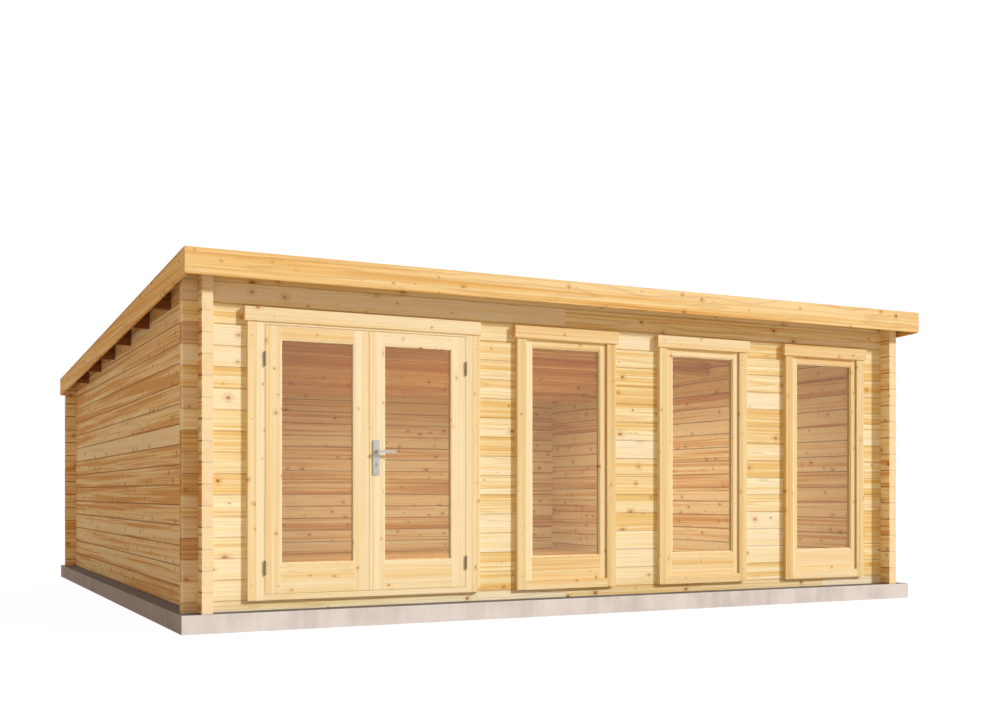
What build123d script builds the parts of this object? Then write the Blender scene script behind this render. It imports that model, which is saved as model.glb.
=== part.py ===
"""Log cabin with a single-slope roof, double glazed doors and three tall windows.

Millimetres, +Z up, front of the cabin towards -Y. The origin lies on the underside of
the base, in the middle of the roof's outline. Each log, board and frame piece is a
solid of its own, and each file in parts/ is one named piece or one set of like pieces.
"""
from build123d import *
import os

os.makedirs("parts", exist_ok=True)

# Walls, measured over the outer faces of the logs
wall_width = 6400.0
wall_depth = 6340.0
log_height = 150.0
log_thickness = 78.0
log_chamfer = 4.0
corner_reach = 112.0
notch_fit = 0.5

# Concrete base and the floor inside
base_height = 133.0
base_side_margin = 140.0
base_front_margin = 122.0
base_rear_margin = 122.0
bearer_height = 48.0
bearer_width = 60.0
bearer_count = 12
floor_thickness = 27.0
floor_gap = 8.0

# Roof, with heights measured above the base
roof_front_height = 2500.0
roof_rear_height = 2170.0
front_overhang = 250.0
rear_overhang = 148.0
side_overhang = 146.0
edge_board = 20.0
fascia_height = 180.0
barge_height = 181.0
roof_board = 19.0
covering = 4.0
lip_drop = 10.0
lip_thickness = 3.0
purlin_count = 6
purlin_width = 60.0
purlin_height = 175.0
purlin_start = 950.0
purlin_spacing = 860.0

# Openings in the front wall, measured from the outer face of the left wall
opening_top = 2100.0
opening_gap = 5.0
lintel_lap = 40.0
lintel_height = 98.0
lintel_depth = 52.0
lintel_ear = 24.0
door_lintel_right_ear = 3.0
trim_depth = 40.0
groove_depth = 8.0

# Double doors
door_centre = 1250.0
leaf_width = 782.0
leaf_thickness = 42.0
leaf_stile = 113.0
leaf_top_rail = 95.0
leaf_bottom_rail = 210.0
leaf_plank = 101.0
plank_groove = 3.0
leaf_gap = 6.0
door_frame_face = 59.0
door_frame_front = 38.0
door_sill_height = 39.0
door_stop = 14.0
door_trim_width = 60.0
door_glass = 20.0

# Hinges and the lever handle
knuckle_radius = 7.0
knuckle_length = 52.0
knuckle_stand_off = 10.0
hinge_pin_radius = 4.0
pin_clearance = 0.3
hinge_plate = 2.0
hinge_plate_depth = 34.0
hinge_heights = (253.0, 1741.0)
bar_sides = 16
lever_height = 1145.0
lever_inset = 50.0
lever_radius = 9.0
lever_length = 130.0
lever_stand_off = 48.0
grip_thickness = 9.0
spindle_radius = 4.0
spindle_clearance = 2.0
plate_width = 52.0
plate_height = 260.0
plate_thickness = 9.0
plate_corner = 8.0
plate_drop = 173.0

# Windows
window_centres = (2940.0, 4282.0, 5621.0)
pane_width = 635.0
pane_bottom = 330.0
pane_top = 2000.0
pane_thickness = 20.0
sash_stile = 52.0
sash_depth = 50.0
sash_front = 22.0
window_frame = 36.0
window_trim_width = 79.0
window_trim_lap = 31.0
sill_trim_height = 71.0

# Places worked out from the sizes above
roof_length = front_overhang + wall_depth + rear_overhang + lip_thickness
front_y = front_overhang - roof_length / 2
rear_y = front_y + wall_depth
left_x = -wall_width / 2
right_x = wall_width / 2
inner_left = left_x + log_thickness
inner_right = right_x - log_thickness
inner_front = front_y + log_thickness
inner_rear = rear_y - log_thickness
roof_front_y = front_y - front_overhang
roof_rear_y = rear_y + rear_overhang
roof_fall = (roof_front_height - roof_rear_height) / (roof_rear_y - roof_front_y)
floor_top = base_height + bearer_height + floor_thickness
sill_level = base_height + log_height / 2


def block(x0, x1, y0, y1, z0, z1):
    """Straight piece between two corners."""
    corner = (Align.MIN, Align.MIN, Align.MIN)
    return Pos(x0, y0, z0) * Box(x1 - x0, y1 - y0, z1 - z0, align=corner)


def beam_x(x0, x1, outline):
    """Piece that runs along X, from its (y, z) outline."""
    ring = Polyline(*[(x0, y, z) for y, z in outline], close=True)
    return extrude(make_face(ring), amount=x1 - x0, dir=(1, 0, 0))


def beam_y(y0, y1, outline):
    """Piece that runs along Y, from its (x, z) outline."""
    ring = Polyline(*[(x, y0, z) for x, z in outline], close=True)
    return extrude(make_face(ring), amount=y1 - y0, dir=(0, 1, 0))


def beam_z(z0, z1, outline):
    """Upright piece, from its (x, y) outline."""
    ring = Polyline(*[(x, y, z0) for x, y in outline], close=True)
    return extrude(make_face(ring), amount=z1 - z0, dir=(0, 0, 1))


def rod(x, y, z, radius, length, direction):
    """Round bar, with many flat sides, that starts at a point and runs along a direction."""
    start = Plane(origin=(x, y, z), z_dir=direction)
    return extrude(start * RegularPolygon(radius, bar_sides), amount=length)


def roof_top(y):
    """Height of the finished roof surface at a distance along Y."""
    return base_height + roof_front_height - roof_fall * (y - roof_front_y)


def roof_underside(y):
    """Height of the underside of the roof boards."""
    return roof_top(y) - covering - roof_board


def slope(y0, y1, upper, lower):
    """Outline in (y, z) of a layer that follows the roof between two drops below its top."""
    return [
        (y0, roof_top(y0) - lower),
        (y1, roof_top(y1) - lower),
        (y1, roof_top(y1) - upper),
        (y0, roof_top(y0) - upper),
    ]


def save(name, pieces):
    """Write one node from all the solids of its pieces."""
    solids = [solid for piece in pieces for solid in piece.solids()]
    export_step(Compound(children=solids), f"parts/{name}.step")


# Log walls

def log_outline(middle, z0, z1):
    """Section of a log with its four long edges chamfered, so that joints show as a V."""
    half = log_thickness / 2
    flat = half - log_chamfer
    return [
        (middle - flat, z0),
        (middle + flat, z0),
        (middle + half, z0 + log_chamfer),
        (middle + half, z1 - log_chamfer),
        (middle + flat, z1),
        (middle - flat, z1),
        (middle - half, z1 - log_chamfer),
        (middle - half, z0 + log_chamfer),
    ]


def purlin_places():
    """Middle of each purlin along Y."""
    return [front_y + purlin_start + n * purlin_spacing for n in range(purlin_count)]


def purlin_bottom(y):
    """Height of the underside of a purlin."""
    return roof_underside(y) - purlin_height


roof_void = beam_x(
    left_x - side_overhang,
    right_x + side_overhang,
    [
        (roof_front_y, roof_underside(roof_front_y)),
        (roof_rear_y, roof_underside(roof_rear_y)),
        (roof_rear_y, base_height + roof_front_height + log_height),
        (roof_front_y, base_height + roof_front_height + log_height),
    ],
)


def notch(log, x0, x1, y0, y1, level):
    """Take a quarter of the log's height from its top and bottom where another wall crosses."""
    quarter = log_height / 4
    upper = block(x0, x1, y0, y1, level + quarter, level + log_height)
    lower = block(x0, x1, y0, y1, level - log_height, level - quarter)
    return log - upper - lower


def side_log(course, wall_x):
    """Log of a side wall, notched over the front and rear walls and cut to the roof."""
    z0 = base_height + course * log_height
    level = z0 + log_height / 2
    y0 = front_y - corner_reach
    y1 = rear_y + corner_reach
    log = beam_y(y0, y1, log_outline(wall_x + log_thickness / 2, z0, z0 + log_height))
    x0 = wall_x - notch_fit
    x1 = wall_x + log_thickness + notch_fit
    log = notch(log, x0, x1, front_y - notch_fit, inner_front + notch_fit, level)
    log = notch(log, x0, x1, inner_rear - notch_fit, rear_y + notch_fit, level)
    top = level + log_height
    for y in purlin_places():
        if purlin_bottom(y) < z0 + log_height:
            half = purlin_width / 2 + notch_fit
            log = log - block(x0, x1, y - half, y + half, purlin_bottom(y), top)
    if z0 + log_height > roof_underside(y1):
        log = log - roof_void
    run_out = roof_front_y + (roof_underside(roof_front_y) - z0 - 2 * log_chamfer) / roof_fall
    if run_out < y1:
        log = log - block(x0, x1, run_out, y1 + log_height, z0, top)
    return log


def cross_log(course, wall_y, openings):
    """Log of the front or rear wall, half a course lower than the side walls."""
    level = base_height + course * log_height
    z0 = max(level - log_height / 2, base_height)
    z1 = level + log_height / 2
    x0 = left_x - corner_reach
    x1 = right_x + corner_reach
    log = beam_x(x0, x1, log_outline(wall_y + log_thickness / 2, z0, z1))
    y0 = wall_y - notch_fit
    y1 = wall_y + log_thickness + notch_fit
    log = notch(log, left_x - notch_fit, inner_left + notch_fit, y0, y1, level)
    log = notch(log, inner_right - notch_fit, right_x + notch_fit, y0, y1, level)
    if z1 > roof_underside(wall_y + log_thickness):
        log = log - roof_void
    for low_x, high_x in openings:
        if z1 > sill_level + log_chamfer and z0 < base_height + opening_top:
            log = log - block(low_x, high_x, y0, y1, sill_level, base_height + opening_top)
    return log


door_half = leaf_width + 1.5 * leaf_gap
door_middle = left_x + door_centre
window_half = pane_width / 2 + sash_stile
window_middles = [left_x + centre for centre in window_centres]
door_cut = door_half + door_frame_face + opening_gap
window_cut = window_half + window_frame + opening_gap
front_openings = [(door_middle - door_cut, door_middle + door_cut)]
front_openings += [(x - window_cut, x + window_cut) for x in window_middles]


def side_wall(wall_x, first):
    """Every second course of a side wall."""
    logs = []
    course = first
    while base_height + course * log_height < roof_underside(front_y) - 2 * log_chamfer:
        logs.append(side_log(course, wall_x))
        course += 2
    return logs


def cross_wall(wall_y, openings, first):
    """Every second course of the front or rear wall."""
    logs = []
    course = first
    while base_height + (course - 0.5) * log_height < roof_underside(wall_y):
        logs.append(cross_log(course, wall_y, openings))
        course += 2
    return logs


for first, label in ((0, "even"), (1, "odd")):
    save(f"left_wall_logs_{label}", side_wall(left_x, first))
    save(f"right_wall_logs_{label}", side_wall(inner_right, first))
    save(f"front_wall_logs_{label}", cross_wall(front_y, front_openings, first))
    save(f"rear_wall_logs_{label}", cross_wall(inner_rear, [], first))

# Base and floor

save("concrete_base", [block(
    left_x - base_side_margin,
    right_x + base_side_margin,
    front_y - base_front_margin,
    rear_y + base_rear_margin,
    0,
    base_height,
)])


def floor_bearers():
    """Timbers that lie on the base from front to rear and carry the floor."""
    first = inner_left + floor_gap
    step = (inner_right - floor_gap - bearer_width - first) / (bearer_count - 1)
    starts = [first + n * step for n in range(bearer_count)]
    y0 = inner_front + floor_gap
    y1 = inner_rear - floor_gap
    top = base_height + bearer_height
    return [block(x, x + bearer_width, y0, y1, base_height, top) for x in starts]


save("floor_bearers", floor_bearers())
save("floor_boards", [block(
    inner_left + floor_gap,
    inner_right - floor_gap,
    inner_front + floor_gap,
    inner_rear - floor_gap,
    floor_top - floor_thickness,
    floor_top,
)])

# Roof

barge_inner = right_x + side_overhang - edge_board
fascia_back = roof_front_y + edge_board
rear_fascia_front = roof_rear_y - edge_board


def purlin(y):
    """Timber across the cabin, let into both side walls, with its top on the slope."""
    y0 = y - purlin_width / 2
    y1 = y + purlin_width / 2
    bottom = purlin_bottom(y)
    outline = [(y0, bottom), (y1, bottom), (y1, roof_underside(y1)), (y0, roof_underside(y0))]
    return beam_x(-barge_inner, barge_inner, outline)


def roof_sheet():
    """Roof covering, turned down over the side and rear edge boards."""
    outer = right_x + side_overhang
    lip = outer + lip_thickness
    top = beam_x(-outer, outer, slope(fascia_back, roof_rear_y, 0, covering))
    edge = slope(fascia_back, roof_rear_y, 0, lip_drop)
    left = beam_x(-lip, -outer, edge)
    right = beam_x(outer, lip, edge)
    behind = beam_x(-lip, lip, slope(roof_rear_y, roof_rear_y + lip_thickness, 0, lip_drop))
    return top + left + right + behind


save("purlins", [purlin(y) for y in purlin_places()])
boards = slope(fascia_back, rear_fascia_front, covering, covering + roof_board)
save("roof_boards", [beam_x(-barge_inner, barge_inner, boards)])
save("roof_covering", [roof_sheet()])
barge = slope(fascia_back, roof_rear_y, covering, covering + barge_height)
save("barge_board_left", [beam_x(-barge_inner - edge_board, -barge_inner, barge)])
save("barge_board_right", [beam_x(barge_inner, barge_inner + edge_board, barge)])
rear_edge = slope(rear_fascia_front, roof_rear_y, covering, covering + fascia_height)
save("fascia_rear", [beam_x(-barge_inner, barge_inner, rear_edge)])
save("fascia_front", [block(
    left_x - side_overhang,
    right_x + side_overhang,
    roof_front_y,
    fascia_back,
    base_height + roof_front_height - fascia_height,
    base_height + roof_front_height,
)])

# Trims round the openings

lintel_z0 = base_height + opening_top - lintel_lap
lintel_z1 = lintel_z0 + lintel_height
trim_front = front_y - trim_depth


def lintel(middle, half_width, right_ear, rebate_half, rebate_front, rebate_top):
    """Board across the top of an opening, rebated at the back where the frame stands proud."""
    x0 = middle - half_width - lintel_ear
    x1 = middle + half_width + right_ear
    board = block(x0, x1, front_y - lintel_depth, front_y, lintel_z0, lintel_z1)
    if rebate_top > lintel_z0:
        low = middle - rebate_half
        high = middle + rebate_half
        board = board - block(low, high, rebate_front, front_y, lintel_z0, rebate_top)
    return board


def trims(middle, inner_half, width):
    """Pair of upright boards on the face of the logs, beside an opening."""
    outer_half = inner_half + width
    spans = [(middle - outer_half, middle - inner_half), (middle + inner_half, middle + outer_half)]
    return [block(x0, x1, trim_front, front_y, sill_level, lintel_z0) for x0, x1 in spans]


# Glazed frames, with the pane and the rails' tongues in grooves

def grooved_stiles(span, pane_span, depth_span, groove, z_span):
    """Pair of uprights, grooved along their inner edges from end to end."""
    low, high = span
    pane_low, pane_high = pane_span
    y0, y1 = depth_span
    z0, z1 = z_span
    left = block(low, pane_low, y0, y1, z0, z1)
    right = block(pane_high, high, y0, y1, z0, z1)
    slot = block(pane_low - groove_depth, pane_high + groove_depth, *groove, z0, z1)
    return [left - slot, right - slot]


def tongued_rail(pane_span, depth_span, groove, z_span, edge):
    """Rail with a tongue at each end, grooved along the edge where the pane sits, 1 for its top."""
    low, high = pane_span
    z0, z1 = z_span
    tongue = block(low - groove_depth, high + groove_depth, *groove, z0, z1)
    rail = block(low, high, *depth_span, z0, z1) + tongue
    slot_z0 = z1 - groove_depth if edge > 0 else z0
    slot = block(low - groove_depth, high + groove_depth, *groove, slot_z0, slot_z0 + groove_depth)
    return rail - slot


def set_pane(pane_span, groove, z_span):
    """Pane that reaches the bottom of the grooves all round."""
    low, high = pane_span
    z0, z1 = z_span
    return block(low - groove_depth, high + groove_depth, *groove, z0 - groove_depth, z1 + groove_depth)


def middle_layer(y0, y1, thickness):
    """Span along Y of a layer in the middle of a frame."""
    start = (y0 + y1 - thickness) / 2
    return start, start + thickness


# Windows

sash_z0 = sill_level + window_frame
sash_z1 = base_height + opening_top - window_frame
sash_y0 = front_y - sash_front
sash_y1 = sash_y0 + sash_depth
pane_z0 = base_height + pane_bottom
pane_z1 = base_height + pane_top
window_trim_inner = window_half + window_frame - window_trim_lap
window_outer = window_trim_inner + window_trim_width
window_groove = middle_layer(sash_y0, sash_y1, pane_thickness)


def window_jamb_pair(middle):
    """Fixed uprights at both sides of a window."""
    starts = (middle - window_half - window_frame, middle + window_half)
    top = base_height + opening_top
    return [block(x, x + window_frame, front_y, inner_front, sill_level, top) for x in starts]


def window_head_and_sill(middle):
    """Fixed head and sill of a window. The sill stands as far forward as the sash."""
    low = middle - window_half
    high = middle + window_half
    head = block(low, high, front_y, inner_front, sash_z1, base_height + opening_top)
    return [head, block(low, high, sash_y0, inner_front, sill_level, sash_z0)]


def pane_span(middle):
    """Low and high X of the glass that shows in a window."""
    return middle - pane_width / 2, middle + pane_width / 2


def sash_stile_pair(middle):
    """Uprights of a sash."""
    span = (middle - window_half, middle + window_half)
    depth = (sash_y0, sash_y1)
    return grooved_stiles(span, pane_span(middle), depth, window_groove, (sash_z0, sash_z1))


def sash_rail_pair(middle):
    """Bottom and top rail of a sash."""
    depth = (sash_y0, sash_y1)
    bottom = tongued_rail(pane_span(middle), depth, window_groove, (sash_z0, pane_z0), 1)
    top = tongued_rail(pane_span(middle), depth, window_groove, (pane_z1, sash_z1), -1)
    return [bottom, top]


def sill_trim(middle):
    """Board under a window, between its upright trims."""
    low = middle - window_trim_inner
    high = middle + window_trim_inner
    return block(low, high, trim_front, sash_y0, sill_level, sill_level + sill_trim_height)


def window_lintel(middle):
    """Lintel of a window."""
    return lintel(middle, window_outer, lintel_ear, window_half, sash_y0, sash_z1)


def for_windows(make):
    """Pieces of all windows, from a function that makes those of one."""
    made = [make(middle) for middle in window_middles]
    return [piece for group in made for piece in (group if isinstance(group, list) else [group])]


save("window_jambs", for_windows(window_jamb_pair))
save("window_heads_and_sills", for_windows(window_head_and_sill))
save("window_sash_stiles", for_windows(sash_stile_pair))
save("window_sash_rails", for_windows(sash_rail_pair))
save("window_glass", [
    set_pane(pane_span(middle), window_groove, (pane_z0, pane_z1)) for middle in window_middles
])
save("window_trims", for_windows(lambda middle: trims(middle, window_trim_inner, window_trim_width)))
save("window_sill_trims", for_windows(sill_trim))
save("window_lintels", for_windows(window_lintel))

# Door frame

leaf_y0 = front_y - door_frame_front
leaf_y1 = leaf_y0 + leaf_thickness
stop_y = leaf_y1 + leaf_gap
leaf_z0 = sill_level + door_sill_height + leaf_gap
head_z0 = base_height + opening_top - door_frame_face
leaf_z1 = head_z0 - leaf_gap


def door_jamb(side):
    """Rebated side of the door frame, with the stop behind the leaf."""
    inner = door_middle + side * door_half
    outer = inner + side * door_frame_face
    stop = inner - side * door_stop
    outline = [
        (outer, leaf_y0),
        (inner, leaf_y0),
        (inner, stop_y),
        (stop, stop_y),
        (stop, inner_front),
        (outer, inner_front),
    ]
    return beam_z(sill_level, base_height + opening_top, outline)


def door_cross_piece(z_edge, z_outer, stop_z):
    """Head or sill of the door frame, between the jambs, with its stop."""
    x0 = door_middle - door_half
    x1 = door_middle + door_half
    front = block(x0, x1, leaf_y0, stop_y, min(z_edge, z_outer), max(z_edge, z_outer))
    low = min(stop_z, z_outer)
    high = max(stop_z, z_outer)
    back = block(x0 + door_stop, x1 - door_stop, stop_y, inner_front, low, high)
    return front + back


sill_edge = sill_level + door_sill_height
save("door_jambs", [door_jamb(-1), door_jamb(1)])
save("door_head", [door_cross_piece(head_z0, base_height + opening_top, head_z0 - door_stop)])
save("door_sill", [door_cross_piece(sill_edge, sill_level, sill_edge + door_stop)])
save("door_trims", trims(door_middle, door_half + door_frame_face, door_trim_width))
door_frame_half = door_half + door_frame_face
door_outer = door_frame_half + door_trim_width
door_frame_top = base_height + opening_top
save("door_lintel", [
    lintel(door_middle, door_outer, door_lintel_right_ear, door_frame_half, leaf_y0, door_frame_top),
])

# Door leaves

handle_x = door_middle + leaf_gap / 2 + lever_inset
handle_z = base_height + lever_height
leaf_pane_z0 = leaf_z0 + leaf_bottom_rail
leaf_pane_z1 = leaf_z1 - leaf_top_rail


def leaf_span(side):
    """Low and high X of a closed leaf, -1 for the left one."""
    near = door_middle + side * leaf_gap / 2
    far = near + side * leaf_width
    return min(near, far), max(near, far)


def plank_joint(low, high, y, inward):
    """Wedge along X that cuts a V-shaped joint into a face of the bottom rail."""
    z = leaf_z0 + leaf_plank
    half = plank_groove / 2
    return beam_x(low, high, [(y, z - half), (y + inward * plank_groove, z), (y, z + half)])


def leaf_pieces(side):
    """Stiles, rails and pane of a closed leaf. The bottom rail is jointed from two planks."""
    low, high = leaf_span(side)
    clear = (low + leaf_stile, high - leaf_stile)
    depth = (leaf_y0, leaf_y1)
    groove = middle_layer(leaf_y0, leaf_y1, door_glass)
    stile_pair = grooved_stiles((low, high), clear, depth, groove, (leaf_z0, leaf_z1))
    bottom = tongued_rail(clear, depth, groove, (leaf_z0, leaf_pane_z0), 1)
    bottom = bottom - plank_joint(*clear, leaf_y0, 1) - plank_joint(*clear, leaf_y1, -1)
    top = tongued_rail(clear, depth, groove, (leaf_pane_z1, leaf_z1), -1)
    pane = set_pane(clear, groove, (leaf_pane_z0, leaf_pane_z1))
    return stile_pair, [bottom, top], pane


spindle_hole = rod(handle_x, leaf_y0, handle_z, spindle_radius + spindle_clearance,
                   leaf_thickness, (0, 1, 0))
for side, label in ((-1, "left"), (1, "right")):
    stile_pair, rail_pair, pane = leaf_pieces(side)
    if side > 0:
        stile_pair = [stile - spindle_hole for stile in stile_pair]
    save(f"door_{label}_stiles", stile_pair)
    save(f"door_{label}_rails", rail_pair)
    save(f"door_{label}_glass", [pane])

# Hinges

axis_y = leaf_y0 - knuckle_stand_off


def hinge_axis(side):
    """X of a hinge axis, in the middle of the gap between leaf and jamb."""
    return door_middle + side * (door_half - leaf_gap / 2)


def hinge_plate_piece(edge, inward, z0, z1):
    """Thin leaf of a hinge, flat on the edge of a jamb or stile."""
    x0 = min(edge, edge + inward * hinge_plate)
    return block(x0, x0 + hinge_plate, axis_y, axis_y + hinge_plate_depth, z0, z1)


def fixed_hinge(side, height):
    """Lower knuckle with its pin and plate, on the jamb."""
    x = hinge_axis(side)
    z = base_height + height
    knuckle = rod(x, axis_y, z, knuckle_radius, knuckle_length, (0, 0, 1))
    pin = rod(x, axis_y, z, hinge_pin_radius, 2 * knuckle_length - knuckle_radius, (0, 0, 1))
    plate = hinge_plate_piece(x + side * leaf_gap / 2, -side, z, z + knuckle_length)
    return knuckle + pin + plate


def moving_hinge(side, height):
    """Upper knuckle with its bore and plate, on the stile."""
    x = hinge_axis(side)
    z = base_height + height + knuckle_length + pin_clearance
    length = knuckle_length - pin_clearance
    knuckle = rod(x, axis_y, z, knuckle_radius, length, (0, 0, 1))
    plate = hinge_plate_piece(x - side * leaf_gap / 2, side, z, z + length)
    bore_length = knuckle_length - knuckle_radius
    bore = rod(x, axis_y, z, hinge_pin_radius + pin_clearance, bore_length, (0, 0, 1))
    return knuckle + plate - bore


save("hinges_on_frame", [fixed_hinge(side, z) for side in (-1, 1) for z in hinge_heights])
save("hinges_on_left_door", [moving_hinge(-1, z) for z in hinge_heights])
save("hinges_on_right_door", [moving_hinge(1, z) for z in hinge_heights])

# Lever handle with its plates and spindle


def handle_plate(y0):
    """Long plate with rounded ends, bored for the neck of the lever."""
    bottom = handle_z - plate_drop
    middle = bottom + plate_height / 2
    face = Plane(origin=(handle_x, y0, middle), x_dir=(1, 0, 0), z_dir=(0, -1, 0))
    outline = face * RectangleRounded(plate_width, plate_height, plate_corner)
    plate = extrude(outline, amount=-plate_thickness)
    hole = rod(handle_x, y0, handle_z, lever_radius + pin_clearance, plate_thickness, (0, 1, 0))
    return plate - hole


def lever(face_y, outward):
    """Round neck and flat grip with round ends, on one face of the leaf."""
    start = face_y + outward * pin_clearance
    back = face_y + outward * lever_stand_off
    neck = rod(handle_x, start, handle_z, lever_radius, abs(back - start), (0, outward, 0))
    middle = (handle_x + lever_length / 2, back, handle_z)
    face = Plane(origin=middle, x_dir=(1, 0, 0), z_dir=(0, outward, 0))
    return neck + extrude(face * SlotCenterToCenter(lever_length, 2 * lever_radius), amount=grip_thickness)


spindle = rod(handle_x, leaf_y0 - pin_clearance, handle_z, spindle_radius,
              leaf_thickness + 2 * pin_clearance, (0, 1, 0))
save("door_handle_plates", [handle_plate(leaf_y0 - plate_thickness), handle_plate(leaf_y1)])
save("door_handle_lever", [lever(leaf_y0, -1) + spindle + lever(leaf_y1, 1)])
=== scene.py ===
# %% [markdown]
# A log cabin, dressed over its CAD model
#
# The CAD model already holds the logs, the frames, the roof and the doors at their real sizes.
# This notebook gives every piece its finish, adds the small parts that carpenters fit last, and
# sets up the camera and the daylight. Everything is in metres, +Z up, the doors towards -Y.

# %% Load the CAD model
import math

import bmesh
import bpy
import numpy as np
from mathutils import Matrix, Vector


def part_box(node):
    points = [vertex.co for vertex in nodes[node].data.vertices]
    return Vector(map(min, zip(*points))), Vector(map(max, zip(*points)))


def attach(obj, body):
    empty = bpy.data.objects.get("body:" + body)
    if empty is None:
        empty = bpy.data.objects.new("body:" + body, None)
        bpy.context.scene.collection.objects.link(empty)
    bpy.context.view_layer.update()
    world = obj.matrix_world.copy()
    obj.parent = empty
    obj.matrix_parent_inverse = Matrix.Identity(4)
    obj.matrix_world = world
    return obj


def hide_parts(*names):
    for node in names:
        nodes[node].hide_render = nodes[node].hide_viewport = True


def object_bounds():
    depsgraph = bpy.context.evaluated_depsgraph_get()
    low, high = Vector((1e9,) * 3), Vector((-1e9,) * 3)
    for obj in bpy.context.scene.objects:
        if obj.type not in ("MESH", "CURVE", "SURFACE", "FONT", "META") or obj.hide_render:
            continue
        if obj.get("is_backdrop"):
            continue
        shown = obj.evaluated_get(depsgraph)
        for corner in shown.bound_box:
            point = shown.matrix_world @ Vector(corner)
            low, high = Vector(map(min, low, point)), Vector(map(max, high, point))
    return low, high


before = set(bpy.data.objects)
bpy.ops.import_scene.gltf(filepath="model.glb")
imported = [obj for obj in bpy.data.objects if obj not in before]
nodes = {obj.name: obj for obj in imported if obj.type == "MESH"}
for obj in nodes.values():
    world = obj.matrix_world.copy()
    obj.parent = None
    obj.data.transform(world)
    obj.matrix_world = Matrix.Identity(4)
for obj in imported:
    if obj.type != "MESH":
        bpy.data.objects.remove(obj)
cad_low, cad_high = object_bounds()
print("CAD nodes:", len(nodes), "from", tuple(cad_low), "to", tuple(cad_high))

# %% [markdown]
# Sizes
#
# A dressing that repeats the model's numbers goes wrong when the model changes, so the places of
# walls and openings are read from the CAD nodes. Small sizes are in millimetres, as a joiner
# gives them.

# %% Sizes read from the model
MM = 0.001
LOG = 150 * MM
WALL = 78 * MM

base_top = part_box("concrete_base")[1].z
front_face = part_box("front_wall_logs_odd")[0].y
rear_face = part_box("rear_wall_logs_odd")[1].y
left_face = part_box("left_wall_logs_odd")[0].x
front_middle = front_face + WALL / 2
rear_middle = rear_face - WALL / 2
side_middle = left_face + WALL / 2
print("front wall at", round(front_face, 4), "rear", round(rear_face, 4), "left", round(left_face, 4))

# %% [markdown]
# Colours and shader nodes
#
# Colours are picked as sRGB hex codes, the way a paint chart gives them. Blender mixes light in
# linear values, so one function converts them. A second one adds a shader node with its settings
# and its inputs, which may be plain values or the outputs of other nodes.


# %% Helpers for colours and shader nodes
def linear(code):
    """Linear colour of an sRGB hex code: a straight line below 0.04045, a 2.4 power above it."""
    share = np.array([int(code[n:n + 2], 16) for n in (1, 3, 5)]) / 255
    return (*np.where(share <= 0.04045, share / 12.92, ((share + 0.055) / 1.055) ** 2.4), 1.0)


def add(tree, kind, out, inputs=(), **settings):
    """Add a shader node, set its settings, fill or link its inputs, and return one output."""
    node = tree.nodes.new("ShaderNode" + kind)
    for key, value in settings.items():
        setattr(node, key, value)
    for key, value in (inputs if isinstance(inputs, dict) else dict(enumerate(inputs))).items():
        if isinstance(value, bpy.types.NodeSocket):
            tree.links.new(value, node.inputs[key])
        else:
            node.inputs[key].default_value = value
    return node.outputs[out] if out is not None else node


def ramp(tree, factor, stops):
    """Colour of a factor, through a list of (place, hex code) stops."""
    colour = add(tree, "ValToRGB", 0, (factor,))
    points = colour.node.color_ramp.elements
    while len(points) < len(stops):
        points.new(0.5)
    for point, (place, code) in zip(points, stops):
        point.position = place
        point.color = linear(code)
    return colour


def new_material(name):
    """An empty material and its node tree."""
    made = bpy.data.materials.new(name)
    made.use_nodes = True
    made.node_tree.nodes.clear()
    return made, made.node_tree


# %% [markdown]
# Sawn softwood
#
# Logs and boards are cut from a trunk, so their grain is the trunk's rings seen where the saw
# passed. An image would repeat and would not turn the corner at an end, so the pattern is worked
# out in space: each board gets a trunk axis of its own, the rings are shells round it, and faces
# show streaks and arches while ends show arcs. Knots are branches that cross the face.
#
# First the shader has to know which board a point is on. Boards have a known size, so the whole
# number of sizes from a start tells them apart, and white noise of it gives each its own luck.

# %% Boards in grain space
GRAIN = {"X": "XZY", "Y": "YZX", "Z": "ZXY", "flat": "YXZ", "floor": "XYZ"}


def grain_space(tree, along, output="Object"):
    """Coordinates in the order along the grain, across the face, into the face."""
    place = add(tree, "TexCoord", output)
    parts = add(tree, "SeparateXYZ", 0, (place,)).node.outputs
    return add(tree, "CombineXYZ", 0, [parts[axis] for axis in GRAIN[along]])


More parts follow.
